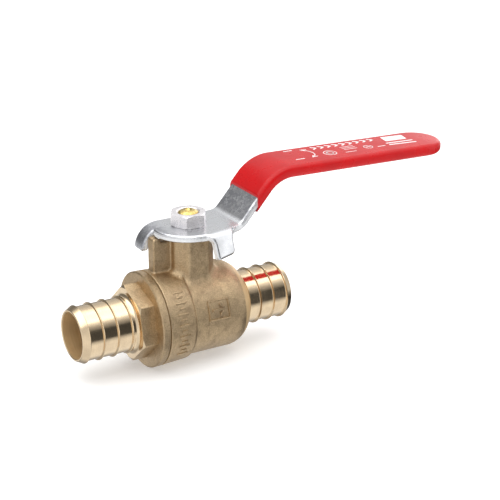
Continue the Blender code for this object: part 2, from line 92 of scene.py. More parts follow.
# Casting
CHAMBER_RADIUS = 13.6 * MM
COLLAR_FRONT_RADIUS = 14.4 * MM
COLLAR_RADIUS = 14.85 * MM
COLLAR_STEP = -5.1 * MM
SHOULDER_START = 9.6 * MM
SHOULDER_RADIUS = 7.2 * MM
OUTLET_STOP = 16.5 * MM
OUTLET_STOP_RADIUS = 9.5 * MM
CAVITY_RADIUS = 11.8 * MM
POCKET_RADIUS = CAVITY_RADIUS + 1.0 * MM
CAVITY_X = (-9.8 * MM, 7.4 * MM)
SEAM_BREAK = 0.12 * MM
NECK_HALF = 6.75 * MM
NECK_FLAT_HALF = 3.3 * MM
NECK_TOP = 25.25 * MM
NECK_BORE_RADIUS = 5.2 * MM
PACKING_FLOOR = 17.4 * MM
WASHER_FACE = 14.2 * MM
SHAFT_WAY_RADIUS = 3.9 * MM
STEM_POCKET_RADIUS = 5.1 * MM
STEM_POCKET_FOOT = 8.6 * MM
LUG_X = (SEAM + 1.4 * MM, -10.2 * MM)
LUG_Y = (-1.4 * MM, 2.3 * MM)
WEB_TOP = 24.2 * MM
CAST_VOXEL = 0.27 * MM
MARK_ANGLE = 74
FLOW_MARK_X = 3.2 * MM
SCALE_X = -9.3 * MM
SCALE_BARS = 13
SCALE_START = 42
SCALE_STEP = 6.8

# Adapter
FLANGE_FACE = -16.8 * MM
HEX_FACE = -21.6 * MM
HEX_RADIUS = 11.9 * MM
HEX_TURN = math.radians(-12)
HEX_FACE_RADIUS = 11.05 * MM
ADAPTER_FILLET = 1.15 * MM
ADAPTER_BORE_END = -8.6 * MM
SPIGOT_END = -11.0 * MM
SPIGOT_RADIUS = 12.5 * MM

# Ball and stem
PORT_RADIUS = 6.9 * MM
BALL_SLOT = ((-1.5 * MM, 1.5 * MM), (-4.1 * MM, 4.1 * MM))
TANG = ((-1.2 * MM, 1.2 * MM), (-3.7 * MM, 3.7 * MM))
THREAD_RADIUS = 3.05 * MM
THREAD_CORE = 2.7 * MM
THREAD_PITCH = 0.6 * MM
THREAD_FOOT = 28.2 * MM
FLATS_RADIUS = 3.5 * MM
FLATS_TOP = 27.6 * MM
SHAFT_TOP = 25.4 * MM
SHAFT_RADIUS = 3.6 * MM
STEM_FLANGE_RADIUS = 4.7 * MM
STEM_FLANGE_Z = (11.6 * MM, 12.8 * MM)

# Lever blank, drawn flat in (distance along the sheet, Y)
SHEET = 2.2 * MM
STRIP_START = -7.2 * MM
STRIP_BEND = 6.3 * MM
STRIP_LENGTH = 9.8 * MM
STRIP_Y = (2.6 * MM, 7.9 * MM)
HUB_RADIUS = 11.35 * MM
RAMP_HALF = 8.2 * MM
GRIP_HALF = 7.6 * MM
RAMP_FOOT = 14.1 * MM
RAMP_BEND = 4.0 * MM
KNEE = (26.8 * MM, 41.3 * MM)
KNEE_BEND = 12.0 * MM
GRIP_FALL = math.radians(-2.0)
TAB_CORNER = Vector((0.43, -13.15)) * MM
TAB_TURN = math.radians(10.4)
TAB_ALONG = Vector((math.cos(TAB_TURN), math.sin(TAB_TURN)))
TAB_AWAY = Vector((math.sin(TAB_TURN), -math.cos(TAB_TURN)))
TAB_BEND = 1.5 * MM
TAB_BEND_START = -2.1 * MM
TAB_ANGLE = math.radians(78)
STEM_HOLE_RADIUS = 3.8 * MM

# Sleeve
SLEEVE_HALF_THICK = 1.94 * MM
SLEEVE_ROUNDING = 1.55 * MM
SLEEVE_WALL = 0.75 * MM

# Nut
NUT_CORNER = 5.88 * MM
NUT_TURN = math.radians(236.4)
NUT_FLAT_RADIUS = 5.1 * MM
NUT_HOLE_RADIUS = 3.12 * MM

# Steps round a turned piece, and how far a cutter reaches past what it cuts
TURN_STEPS = 160
PAST = 2 * MM

# Print on the grip, in millimetres: (X, Y, radius, width) rings, (start, end, width) dashes and a block
PRINT_LIFT = 0.03 * MM
PRINTED_RINGS = [(49.8, -1.6, 2.1, 0.3), (49.8, -1.6, 1.1, 0.45), (64.5, -1.3, 1.5, 0.3)]
PRINTED_DASHES = [((37.2, 5.6), (40.0, 5.6), 0.5), ((36.4, -3.2), (39.2, -3.2), 0.5)]
PRINTED_DASHES += [((55.8, 1.9 - 1.3 * i), (60.6, 1.9 - 1.3 * i), 0.28) for i in range(3)]
PRINTED_DASHES += [((54.8, -3.3), (58.6, -3.3), 0.3), ((63.8, -1.3), (65.2, -1.3), 0.4)]
PRINTED_DASHES += [((67.6, -2.4), (70.2, -2.4), 0.4), ((72.3, -2.3), (81.8, -3.0), 0.75)]
PRINTED_DASHES += [((72.3, -0.6), (81.8, -0.9), 0.75)]
PRINTED_BLOCK = [(73.2, 1.3), (81.2, 1.0), (82.0, 5.2), (74.0, 5.8)]

# Camera
CAMERA_PLACE = Vector((-216.31, -397.66, 196.29)) * MM
CAMERA_AZIMUTH = math.radians(-30.9)
CAMERA_ELEVATION = math.radians(21.37)
CAMERA_LENS = 115.2

# Studio: (height, level) pairs up the sky on each side, from straight down at -1 to straight up at 1
SKY_FRONT = [(-1, 1.0), (-0.55, 1.05), (-0.38, 0.62), (-0.26, 0.08), (0.36, 0.06), (0.48, 0.28)]
SKY_FRONT += [(0.62, 0.55), (0.76, 1.2), (0.86, 1.75), (0.94, 1.3)]
SKY_LEFT = [(-1, 0.8), (-0.3, 1.05), (0.6, 0.75), (0.76, 1.6), (1, 2.1)]
SKY_RIGHT = [(-1, 0.08), (-0.36, 0.1), (-0.22, 0.7), (-0.14, 1.6), (0.6, 1.5), (1, 1.4)]
SKY_REAR = [(-1, 0.3), (-0.6, 0.45), (-0.35, 1.1), (-0.1, 0.5), (0, 0.2), (0.35, 0.22)]
SKY_REAR += [(0.56, 0.32), (0.7, 0.95), (0.8, 1.7), (1, 2.3)]


# ---- shape helpers


def rounded(points, radii, steps=6):
    """The outline with its corners drawn as arcs. radii is one number, or one for each point."""
    count = len(points)
    if not isinstance(radii, (list, tuple)):
        radii = [radii] * count
    path = []
    for i, (point, radius) in enumerate(zip(points, radii)):
        corner = Vector(point)
        if radius == 0:
            path.append(corner)
            continue
        back = Vector(points[i - 1]) - corner
        ahead = Vector(points[(i + 1) % count]) - corner
        half = back.angle(ahead) / 2
        reach = min(radius / math.tan(half), 0.48 * back.length, 0.48 * ahead.length)
        first = corner + back.normalized() * reach
        last = corner + ahead.normalized() * reach
        inward = (back.normalized() + ahead.normalized()).normalized()
        centre = corner + inward * (reach / math.cos(half))
        sweep = (first - centre).angle_signed(last - centre)
        for k in range(steps + 1):
            path.append(centre + Matrix.Rotation(-sweep * k / steps, 2) @ (first - centre))
    return path


def points_2d(pairs):
    return [Vector(pair) for pair in pairs]


def arc(centre, radius, start, end, steps):
    """Points on a circle from one angle to another, in degrees."""
    points = []
    for i in range(steps + 1):
        angle = math.radians(start + (end - start) * i / steps)
        points.append(Vector((centre[0] + radius * math.cos(angle), centre[1] + radius * math.sin(angle))))
    return points


def hexagon(corner_radius, turn):
    angles = [turn + i * math.pi / 3 for i in range(6)]
    return [(corner_radius * math.cos(a), corner_radius * math.sin(a)) for a in angles]


def lathe(profile, axis="X", closed=True, steps=TURN_STEPS):
    """A cage of (along, radius) points turned about the axis."""
    cage = bmesh.new()
    if axis == "X":
        points = [cage.verts.new((along, 0, radius)) for along, radius in profile]
        spindle = (1, 0, 0)
    else:
        points = [cage.verts.new((radius, 0, along)) for along, radius in profile]
        spindle = (0, 0, 1)
    edges = [cage.edges.new(pair) for pair in zip(points, points[1:])]
    if closed:
        edges.append(cage.edges.new((points[-1], points[0])))
    whole = {"cent": (0, 0, 0), "axis": spindle, "angle": 2 * math.pi, "steps": steps, "use_merge": True}
    bmesh.ops.spin(cage, geom=points + edges, **whole)
    bmesh.ops.remove_doubles(cage, verts=cage.verts, dist=1e-7)
    bmesh.ops.recalc_face_normals(cage, faces=cage.faces)
    return cage


def outward(outline):
    """The mitred outward normal at each point of an anticlockwise outline."""
    normals = []
    count = len(outline)
    for i, point in enumerate(outline):
        before = (point - outline[i - 1]).normalized()
        after = (outline[(i + 1) % count] - point).normalized()
        side = Vector((before.y + after.y, -before.x - after.x)).normalized()
        normals.append(side / max(side.dot(Vector((after.y, -after.x))), 0.5))
    return normals


def ringed(rings):
    """A closed cage from rings of 3D points with equal counts, the first on top."""
    cage = bmesh.new()
    rings = [[cage.verts.new(point) for point in ring] for ring in rings]
    count = len(rings[0])
    for above, below in zip(rings, rings[1:]):
        for i in range(count):
            j = (i + 1) % count
            cage.faces.new((above[i], below[i], below[j], above[j]))
    cage.faces.new(rings[0])
    cage.faces.new(rings[-1][::-1])
    return cage


def slab(outline, edge):
    """A flat cage from an anticlockwise outline. edge lists (inset, height) from the top face's rim down."""
    sides = outward(outline)
    return ringed([[(*(p - n * inset), height) for p, n in zip(outline, sides)] for inset, height in edge])


def rolled(high, width, depth, steps):
    """(inset, height) pairs down a rounded top edge."""
    turn = [math.pi / 2 * i / steps for i in range(steps + 1)]
    return [(width * (1 - math.sin(a)), high - depth * (1 - math.cos(a))) for a in turn]


def soft_edge(high, low, radius, steps):
    """(inset, height) pairs for an edge rounded top and bottom."""
    return rolled(high, radius, radius, steps) + rolled(low, radius, -radius, steps)[::-1]


def cut(cage, point, normal, keep_all=True):
    """Splits the faces that the plane crosses or, without keep_all, removes what lies past it and caps it."""
    geometry = cage.verts[:] + cage.edges[:] + cage.faces[:]
    made = bmesh.ops.bisect_plane(
        cage, geom=geometry, dist=1e-7, plane_co=point, plane_no=normal, clear_outer=not keep_all
    )
    if not keep_all:
        rim = [item for item in made["geom_cut"] if isinstance(item, bmesh.types.BMEdge)]
        bmesh.ops.holes_fill(cage, edges=rim, sides=0)


def mesh_from(name, cage):
    """A mesh of the cage, which is freed."""
    mesh = bpy.data.meshes.new(name)
    cage.to_mesh(mesh)
    cage.free()
    return mesh


def linked(name, data):
    """A new object in the scene."""
    item = bpy.data.objects.new(name, data)
    bpy.context.scene.collection.objects.link(item)
    return item


def add_cage(cage, other):
    """Moves the other cage's faces into this one."""
    mesh = mesh_from("moved", other)
    cage.from_mesh(mesh)
    bpy.data.meshes.remove(mesh)


def evaluated(cages, modify):
    """Gives each cage an object, lets modify add modifiers to the first, and returns its result as a cage."""
    items = [linked("operand", mesh_from("operand", cage)) for cage in cages]
    modify(*items)
    graph = bpy.context.evaluated_depsgraph_get()
    result = bmesh.new()
    result.from_mesh(items[0].evaluated_get(graph).to_mesh())
    for item in items:
        bpy.data.objects.remove(item)
    return result


def combined(first, second, operation):
    """The exact Boolean of two cages."""

    def modify(item, other):
        change = item.modifiers.new("change", "BOOLEAN")
        change.operation = operation
        change.solver = "EXACT"
        change.object = other

    return evaluated([first, second], modify)


def cast_skin(cage, passes):
    """One skin round all the cage's overlapping solids, with the softened corners of a casting."""

    def modify(item):
        remesh = item.modifiers.new("skin", "REMESH")
        remesh.mode = "VOXEL"
        remesh.voxel_size = CAST_VOXEL
        smooth = item.modifiers.new("soften", "SMOOTH")
        smooth.factor = 0.5
        smooth.iterations = passes

    return evaluated([cage], modify)


def piece(name, cage, finishes, body, replaced=(), sharp=32):
    """Makes the cage a named object that rides on a body."""
    mesh = mesh_from(name, cage)
    for finish in finishes:
        mesh.materials.append(finish)
    mesh.shade_smooth()
    mesh.set_sharp_from_angle(angle=math.radians(sharp))
    item = linked(name, mesh)
    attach(item, body)
    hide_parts(*replaced)


# ---- materials


def node(tree, kind, inputs=None, **settings):
    """Adds a shader node. inputs maps a socket's name or place to a value or to another node's output."""
    made = tree.nodes.new(kind)
    for key, value in settings.items():
        setattr(made, key, value)
    for socket, value in (inputs or {}).items():
        if isinstance(value, bpy.types.NodeSocket):
            tree.links.new(value, made.inputs[socket])
        else:
            made.inputs[socket].default_value = value
    return made


def new_material(name, **values):
    """A Principled material with constant values set on the shader itself."""
    surface = bpy.data.materials.new(name)
    surface.use_nodes = True
    shader = surface.node_tree.nodes["Principled BSDF"]
    for socket, value in values.items():
        shader.inputs[socket.replace("_", " ")].default_value = value
    return surface, surface.node_tree, shader


def millimetres(tree, stretch=(1, 1, 1)):
    """The surface's place in millimetres, stretched along each axis."""
    place = node(tree, "ShaderNodeTexCoord").outputs["Object"]
    scale = tuple(1000 * s for s in stretch)
    return node(tree, "ShaderNodeVectorMath", {0: place, 1: scale}, operation="MULTIPLY").outputs[0]


def noise(tree, place, scale, detail=3.0, roughness=0.55):
    settings = {"Vector": place, "Scale": scale, "Detail": detail, "Roughness": roughness}
    return node(tree, "ShaderNodeTexNoise", settings).outputs["Fac"]


def spread(tree, value, low, high, to_low, to_high):
    """The value mapped from one range to another, held at its ends."""
    settings = {"Value": value, "From Min": low, "From Max": high, "To Min": to_low, "To Max": to_high}
    return node(tree, "ShaderNodeMapRange", settings).outputs["Result"]


def blend_colors(tree, factor, first, second):
    """A mix of two colours, each a node's output or three numbers."""
    tones = [(*tone, 1.0) if isinstance(tone, tuple) else tone for tone in (first, second)]
    return node(tree, "ShaderNodeMix", {0: factor, 6: tones[0], 7: tones[1]}, data_type="RGBA").outputs[2]


def bump(tree, shader, layers):
    """Bump layers of (height, distance in metres, strength), each on top of the last."""
    normal = None
    for height, distance, strength in layers:
        settings = {"Height": height, "Distance": distance, "Strength": strength}
        if normal is not None:
            settings["Normal"] = normal
        normal = node(tree, "ShaderNodeBump", settings).outputs["Normal"]
    tree.links.new(normal, shader.inputs["Normal"])


def ramped(tree, value, low, high, first, second):
    """The first colour where the value is below low, the second where it is above high."""
    return blend_colors(tree, spread(tree, value, low, high, 0, 1), first, second)


def mottled(tree, value, first, second):
    """The first colour where a noise is low, the second where it is high."""
    return ramped(tree, value, 0.35, 0.65, first, second)


def uneven(tree, value, low, high):
    """A level that follows a noise from low to high."""
    return spread(tree, value, 0.3, 0.7, low, high)


def combine(tree, operation, first, second):
    """Two values put together by a Math node."""
    return node(tree, "ShaderNodeMath", {0: first, 1: second}, operation=operation).outputs[0]


def dress(tree, shader, tone, rough, layers):
    """Links a colour, a roughness and bump layers to the shader."""
    tree.links.new(tone, shader.inputs["Base Color"])
    tree.links.new(rough, shader.inputs["Roughness"])
    if layers:
        bump(tree, shader, layers)


def stem_brass():
    """Yellow free-cutting brass with coarse facing marks on the stem's end."""
    surface, tree, shader = new_material("stem_brass", Metallic=1.0)
    cloud = noise(tree, millimetres(tree), 1.6, 4.0, 0.65)
    tone = ramped(tree, cloud, 0.38, 0.62, (0.52, 0.38, 0.10), (0.82, 0.64, 0.26))
    dress(tree, shader, tone, uneven(tree, cloud, 0.32, 0.2), [(cloud, 0.0002, 0.6)])
    return surface


def cast_brass():
    """Sand-blasted forging: dull, slightly uneven in colour, with fine grain and a few broad dents."""
    surface, tree, shader = new_material("cast_brass", Metallic=1.0)
    place = millimetres(tree)
    grain = noise(tree, place, 3.2, 2.0, 0.6)
    patch = noise(tree, place, 0.16, 3.0)
    stain = noise(tree, place, 0.42, 4.0, 0.65)
    tone = mottled(tree, patch, (0.68, 0.51, 0.31), (0.60, 0.45, 0.28))
    tone = blend_colors(tree, spread(tree, stain, 0.48, 0.7, 0, 0.7), tone, (0.38, 0.27, 0.17))
    pit = blend_colors(tree, 0.5, tone, (0.26, 0.19, 0.11))
    tone = ramped(tree, grain, 0.35, 0.68, pit, tone)
    layers = [(patch, 0.0008, 0.3), (stain, 0.0003, 0.5), (grain, 0.00012, 1.0)]
    dress(tree, shader, tone, uneven(tree, grain, 0.5, 0.38), layers)
    return surface


def turned_brass():
    """Bright turned brass with fine tool rings along the pipe."""
    surface, tree, shader = new_material("turned_brass", Metallic=1.0)
    rings = noise(tree, millimetres(tree, (1, 0.02, 0.02)), 7.0, 3.0, 0.7)
    cloud = noise(tree, millimetres(tree), 0.35, 3.0)
    tone = mottled(tree, cloud, (0.82, 0.655, 0.44), (0.75, 0.59, 0.40))
    tone = blend_colors(tree, spread(tree, rings, 0.4, 0.6, 0, 0.16), tone, (0.62, 0.46, 0.27))
    dress(tree, shader, tone, uneven(tree, cloud, 0.1, 0.2), [(rings, 0.00002, 0.35), (cloud, 0.0003, 0.1)])
    return surface


def shaded_bore_brass():
    """The bores' drilled finish: duller than the turned outside, with coarser rings, and a darker, more
    orange tone that is painted shade inside the bores.
    """
    surface, tree, shader = new_material("shaded_bore_brass", Metallic=0.5)
    rings = noise(tree, millimetres(tree, (1, 0.03, 0.03)), 3.0, 4.0, 0.7)
    cloud = noise(tree, millimetres(tree), 0.3, 3.0)
    # Painted shade: darker, more orange tones than the turned brass, standing in for the shade inside the
    # bores.
    tone = mottled(tree, rings, (0.60, 0.43, 0.22), (0.70, 0.50, 0.27))
    dress(tree, shader, tone, uneven(tree, cloud, 0.34, 0.48), [(rings, 0.00003, 0.5)])
    return surface


def zinc_plate():
    """Zinc-plated steel: a faint cloudy sheen with spangles that are stronger on the bent ends, where their
    dark mottle is partly painted shade, and painted shade darkening the curled end strip.
    """
    surface, tree, shader = new_material("zinc_plate", Metallic=1.0)
    place = millimetres(tree)
    x = node(tree, "ShaderNodeSeparateXYZ", {0: place}).outputs["X"]
    # The curled end strip past X -7 mm: a mask for the bent ends, and for a painted shade that darkens the
    # strip.
    strip_shade_mask = spread(tree, x, -7.0, -10.5, 0, 1)
    bent_end_mask = combine(tree, "MAXIMUM", spread(tree, x, 13.0, 15.5, 0, 1), strip_shade_mask)
    fine = noise(tree, place, 1.7, 4.0, 0.7)
    cloud = noise(tree, place, 0.22, 3.0)
    cells = node(tree, "ShaderNodeTexVoronoi", {"Vector": place, "Scale": 1.1, "Randomness": 1.0})
    spangle = node(tree, "ShaderNodeSeparateColor", {0: cells.outputs["Color"]}).outputs[0]
    mottle = combine(tree, "ADD", spread(tree, fine, 0.35, 0.65, -0.3, 0.5), spangle)
    # Spangle mottle on the bent ends. Its darkening of the ramp and strip is partly painted shade.
    dull = combine(tree, "MULTIPLY", spread(tree, mottle, 0.25, 0.8, 0, 1), bent_end_mask)
    tone = mottled(tree, cloud, (0.80, 0.81, 0.83), (0.73, 0.745, 0.77))
    tone = blend_colors(tree, bent_end_mask, tone, (0.84, 0.85, 0.87))
    # Painted shade: the curled strip darkened halfway toward dark grey.
    tone = blend_colors(tree, spread(tree, strip_shade_mask, 0, 1, 0, 0.5), tone, (0.36, 0.375, 0.41))
    # Partly painted shade: the spangle mottle darkens the ramp and strip toward grey.
    tone = blend_colors(tree, spread(tree, dull, 0, 1, 0, 0.95), tone, (0.40, 0.405, 0.435))
    rough = combine(tree, "ADD", uneven(tree, cloud, 0.22, 0.32), spread(tree, dull, 0, 1, 0, 0.12))
    lumps = combine(tree, "MULTIPLY", fine, spread(tree, bent_end_mask, 0, 1, 0.15, 1))
    dress(tree, shader, tone, rough, [(cloud, 0.0003, 0.12), (lumps, 0.00006, 0.5)])
    return surface


def sheared_zinc():
    """The zinc-plated sheared edge: duller and paler than the rolled faces, streaked across the sheet."""
    surface, tree, shader = new_material("sheared_zinc", Metallic=0.6)
    streak = noise(tree, millimetres(tree, (1, 1, 0.25)), 2.4, 3.0, 0.6)
    tone = mottled(tree, streak, (0.88, 0.89, 0.90), (0.78, 0.79, 0.81))
    dress(tree, shader, tone, uneven(tree, streak, 0.42, 0.55), [(streak, 0.00004, 0.5)])
    return surface


def nut_plate():
    """Bright zinc with a faint warm tint on the nut."""
    surface, tree, shader = new_material("nut_plate", Metallic=0.7)
    cloud = noise(tree, millimetres(tree), 0.6, 3.0)
    fine = noise(tree, millimetres(tree, (1, 1, 6)), 2.0, 3.0)
    tone = mottled(tree, cloud, (0.88, 0.85, 0.86), (0.78, 0.76, 0.78))
    rough = spread(tree, fine, 0.35, 0.65, 0.26, 0.36)
    dress(tree, shader, tone, rough, [(fine, 0.00002, 0.5)])
    return surface


def red_vinyl():
    """Dipped vinyl: glossy, uneven in its red, with faint scuffs along the grip and a faint orange peel."""
    surface, tree, shader = new_material("red_vinyl", Metallic=0.0, Specular_IOR_Level=0.32, IOR=1.5)
    place = millimetres(tree)
    peel = noise(tree, place, 0.9, 2.0)
    cloud = noise(tree, place, 0.12, 3.0)
    scratches = noise(tree, millimetres(tree, (0.25, 1.4, 1)), 1.6, 4.0, 0.7)
    tone = mottled(tree, cloud, (0.55, 0.005, 0.007), (0.48, 0.004, 0.006))
    tone = blend_colors(tree, spread(tree, scratches, 0.58, 0.75, 0, 0.35), tone, (0.50, 0.016, 0.02))
    dress(tree, shader, tone, uneven(tree, cloud, 0.24, 0.34), [(cloud, 0.0006, 0.15), (peel, 0.00008, 0.2)])
    return surface


def white_ink():
    """Pad-printed ink, thin enough in places for the red to tint it."""
    surface, tree, shader = new_material("white_ink", Metallic=0.0)
    wear = noise(tree, millimetres(tree), 1.8, 4.0, 0.65)
    thin = spread(tree, wear, 0.52, 0.68, 0, 0.6)
    tone = blend_colors(tree, thin, (0.90, 0.86, 0.86), (0.80, 0.42, 0.43))
    dress(tree, shader, tone, uneven(tree, wear, 0.35, 0.5), [])
    return surface


def white_ptfe():
    """Waxy fluoropolymer, faintly mottled."""
    waxy = {"Subsurface_Weight": 0.15, "Subsurface_Scale": 0.001}
    surface, tree, shader = new_material("white_ptfe", Metallic=0.0, **waxy)
    cloud = noise(tree, millimetres(tree), 0.8, 3.0)
    tone = mottled(tree, cloud, (0.88, 0.88, 0.85), (0.80, 0.80, 0.77))
    dress(tree, shader, tone, uneven(tree, cloud, 0.4, 0.55), [(cloud, 0.00005, 0.3)])
    return surface


# ---- brass pieces


def casting_radius(x):
    """The casting's outer radius between the seam and the shoulder's arc."""
    if x > COLLAR_STEP:
        return CHAMBER_RADIUS
    rise = (COLLAR_STEP - x) / (COLLAR_STEP - SEAM)
    return COLLAR_FRONT_RADIUS + rise * (COLLAR_RADIUS - COLLAR_FRONT_RADIUS)


def casting_top(x, y):
    radius = casting_radius(x)
    return math.sqrt(max(radius**2 - y**2, 0.0))


def standing(outline, top, flare, corner):
    """A post that stands on the casting: its foot flares into the surface and its top edge is rounded."""
    sides = outward(outline)
    rings = []
    for inset, height in rolled(top, corner, corner, 6):
        rings.append([(*(p - n * inset), height) for p, n in zip(outline, sides)])
    for reach, lift in reversed(rolled(0, flare, -flare, 6)):
        feet = [p + n * reach for p, n in zip(outline, sides)]
        rings.append([(f.x, f.y, casting_top(f.x, f.y) + lift) for f in feet])
    rings.append([(x, y, z - PAST) for x, y, z in rings[-1]])
    return ringed(rings)


def dense(outline, spacing=0.5 * MM):
    """The outline with its long stretches split."""
    points = []
    for i, point in enumerate(outline):
        after = outline[(i + 1) % len(outline)]
        count = max(1, round((after - point).length / spacing))
        points += [point.lerp(after, k / count) for k in range(count)]
    return points


def oblong(x_range, y_range, radius):
    (x0, x1), (y0, y1) = x_range, y_range
    return dense(rounded([(x0, y0), (x1, y0), (x1, y1), (x0, y1)], radius))


def barb_profile(end, toward, ridges):
    """(along, radius) points of a barb's outside from its open end: a lip cone, then narrow ridges."""
    groove = [(-0.75 * MM, GROOVE_RADIUS), (-0.6 * MM, GROOVE_RADIUS)]
    crest = [(-0.38 * MM, RIDGE_RADIUS - 0.05 * MM), (-0.3 * MM, RIDGE_RADIUS)]
    crest += [(-0.18 * MM, RIDGE_RADIUS - 0.02 * MM), (0.02 * MM, GROOVE_RADIUS + 0.05 * MM)]
    crest += [(0.12 * MM, GROOVE_RADIUS), (0.3 * MM, GROOVE_RADIUS)]
    profile = [(0.0, BORE_RADIUS + 0.2 * MM), (0.0, LIP_RADIUS - 0.32 * MM)]
    profile += [(0.12 * MM, LIP_RADIUS - 0.14 * MM)]
    for i in range(ridges):
        ridge = FIRST_RIDGE + i * RIDGE_PITCH - 0.2 * MM
        shape = groove + crest if i else crest
        profile += [(ridge + along, radius) for along, radius in shape]
    return points_2d([(end + toward * along, radius) for along, radius in profile])


def casting_outside():
    """The turned outline of the collar, chamber and shoulder, from the outlet's stop to the seam."""
    centre = (SHOULDER_START, CHAMBER_RADIUS - SHOULDER_RADIUS)
    fall = math.degrees(math.asin((OUTLET_STOP_RADIUS - centre[1]) / SHOULDER_RADIUS))
    face = OUTLET_STOP - 0.3 * MM
    step = COLLAR_STEP - 0.35 * MM
    outside = points_2d([(face, 0), (face, OUTLET_STOP_RADIUS - 0.4 * MM)])
    outside += arc(centre, SHOULDER_RADIUS, fall, 90, 24)
    outside += points_2d([(COLLAR_STEP + 0.1 * MM, CHAMBER_RADIUS), (step, casting_radius(step))])
    return outside + points_2d([(SEAM, COLLAR_RADIUS), (SEAM, 0)])


def casting_posts():
    """The octagonal neck, the stop lug and the web between them."""
    wide, flat = NECK_HALF, NECK_FLAT_HALF
    corners = [(wide, -flat), (wide, flat), (flat, wide), (-flat, wide)]
    corners += [(-x, -y) for x, y in corners]
    neck = dense(rounded(corners, 1.1 * MM))
    web_x = (LUG_X[1] - 1.2 * MM, -wide + 1.4 * MM)
    web_y = (LUG_Y[0] + 0.05 * MM, LUG_Y[1] - 0.05 * MM)
    return [
        standing(neck, NECK_TOP, 1.9 * MM, 0.3 * MM),
        standing(oblong(LUG_X, LUG_Y, 0.35 * MM), LUG_TOP, 0.45 * MM, 0.7 * MM),
        standing(oblong(web_x, web_y, 0.3 * MM), WEB_TOP, 0.6 * MM, 0.5 * MM),
    ]


def casting_ways():
    """The solids cut from the casting: the waterway with the ball's cavity, and the stem's stepped way."""
    bore = BORE_RADIUS + 0.3 * MM
    low, high = CAVITY_X
    water = [(OUTLET_STOP + PAST, 0), (OUTLET_STOP + PAST, bore), (high, bore), (high, CAVITY_RADIUS)]
    water += [(low, CAVITY_RADIUS), (low, POCKET_RADIUS), (SEAM - PAST, POCKET_RADIUS), (SEAM - PAST, 0)]
    yield lathe(water, closed=False, steps=96)
    stem = [(NECK_TOP + PAST, 0), (NECK_TOP + PAST, NECK_BORE_RADIUS), (PACKING_FLOOR, NECK_BORE_RADIUS)]
    stem += [(PACKING_FLOOR, SHAFT_WAY_RADIUS), (WASHER_FACE, SHAFT_WAY_RADIUS)]
    stem += [(WASHER_FACE, STEM_POCKET_RADIUS), (STEM_POCKET_FOOT, STEM_POCKET_RADIUS), (STEM_POCKET_FOOT, 0)]
    yield lathe(stem, "Z", closed=False, steps=64)


def make_casting(brass, bore_shade):
    """The forged body: collar, chamber, shoulder, neck and stop lug in one skin, then the machined holes."""
    skin = lathe(casting_outside(), closed=False)
    for post in casting_posts():
        add_cage(skin, post)
    skin = cast_skin(skin, 2)
    cut(skin, (SEAM + SEAM_BREAK, 0, 0), (-1, 0, 0), keep_all=False)
    for way in casting_ways():
        skin = combined(skin, way, "DIFFERENCE")
    widest = POCKET_RADIUS + 0.05 * MM
    for face in skin.faces:
        middle = face.calc_center_median()
        inside = math.hypot(middle.y, middle.z) < widest and middle.x < OUTLET_STOP - 1 * MM
        in_neck = math.hypot(middle.x, middle.y) < NECK_BORE_RADIUS + 0.05 * MM and middle.z > 0
        face.material_index = 1 if inside or in_neck else 0
    piece("body_casting", skin, [brass, bore_shade], "body", ["valve_body"])


def stroke(start, end, width):
    """An anticlockwise outline of a straight bar with round ends."""
    start, end = Vector(start) * MM, Vector(end) * MM
    along = (end - start).normalized() * (width * MM / 2)
    side = Vector((-along.y, along.x))
    corners = [start - along - side, end + along - side, end + along + side, start - along + side]
    return dense(rounded([tuple(c) for c in corners], width * MM * 0.49, steps=4), 0.6 * MM)


def raised_mark(strokes, width, x, angle, height):
    """Bars raised on the casting. A stroke is a pair of (along X, round the pipe) points in millimetres."""
    edge = [(0.16 * MM, height), (0.05 * MM, height * 0.75), (0, -0.5 * MM)]
    marks = bmesh.new()
    for start, end in strokes:
        bar = slab(stroke(start, end, width), edge)
        for vert in bar.verts:
            along, round_pipe, lift = vert.co
            radius = casting_radius(x + along)
            turn = math.radians(angle) + round_pipe / radius
            vert.co = (x + along, -(radius + lift) * math.sin(turn), (radius + lift) * math.cos(turn))
        bmesh.ops.recalc_face_normals(bar, faces=bar.faces)
        add_cage(marks, bar)
    return marks


def make_casting_marks(brass):
    """Plain raised marks in place of lettering: a framed flow arrow, and a scale of long and short bars."""
    arrow = [((-2.0, 0), (2.1, 0)), ((2.1, 0), (0.5, -1.5)), ((2.1, 0), (0.5, 1.5))]
    corners = [(-3.4, -3.0), (3.4, -3.0), (3.4, 3.0), (-3.4, 3.0)]
    border = list(zip(corners, corners[1:] + corners[:1]))
    for side, end in ((1, "front"), (-1, "back")):
        marks = raised_mark(arrow, 0.95, FLOW_MARK_X, MARK_ANGLE * side, 0.48 * MM)
        add_cage(marks, raised_mark(border, 0.6, FLOW_MARK_X, MARK_ANGLE * side, 0.4 * MM))
        piece(f"flow_mark_{end}", marks, [brass], "body")
    tally = bmesh.new()
    for i in range(SCALE_BARS):
        reach = 0.7 if i % 2 else 1.5
        bar = [((-reach, 0), (reach, 0))]
        add_cage(tally, raised_mark(bar, 0.7, SCALE_X, SCALE_START + i * SCALE_STEP, 0.24 * MM))
    piece("collar_marks", tally, [brass], "body")


def barb_piece(name, outside, finishes, replaced):
    """A turned barb, bright outside and dull in its bore, where the darker tone is painted shade."""
    cage = lathe(outside)
    mark_bore(cage, BORE_RADIUS + 0.02 * MM)
    piece(name, cage, finishes, "body", [replaced], sharp=18)


def make_outlet_barb(bright, bore_shade):
    """The outlet barb, rooted in the casting's stop."""
    root = OUTLET_STOP - 1.5 * MM
    neck = GROOVE_RADIUS + 0.3 * MM
    outside = barb_profile(OUTLET_END, -1, OUTLET_RIDGES)
    outside += points_2d([(OUTLET_STOP + 0.5 * MM, GROOVE_RADIUS), (OUTLET_STOP, neck), (root, neck)])
    outside += points_2d([(root, BORE_RADIUS), (OUTLET_END - 0.2 * MM, BORE_RADIUS)])
    barb_piece("outlet_barb", outside, [bright, bore_shade], "valve_body")


def mark_bore(cage, radius):
    """Gives the faces that lie this near the pipe's axis the second material."""
    for face in cage.faces:
        middle = face.calc_center_median()
        face.material_index = 1 if math.hypot(middle.y, middle.z) < radius else 0


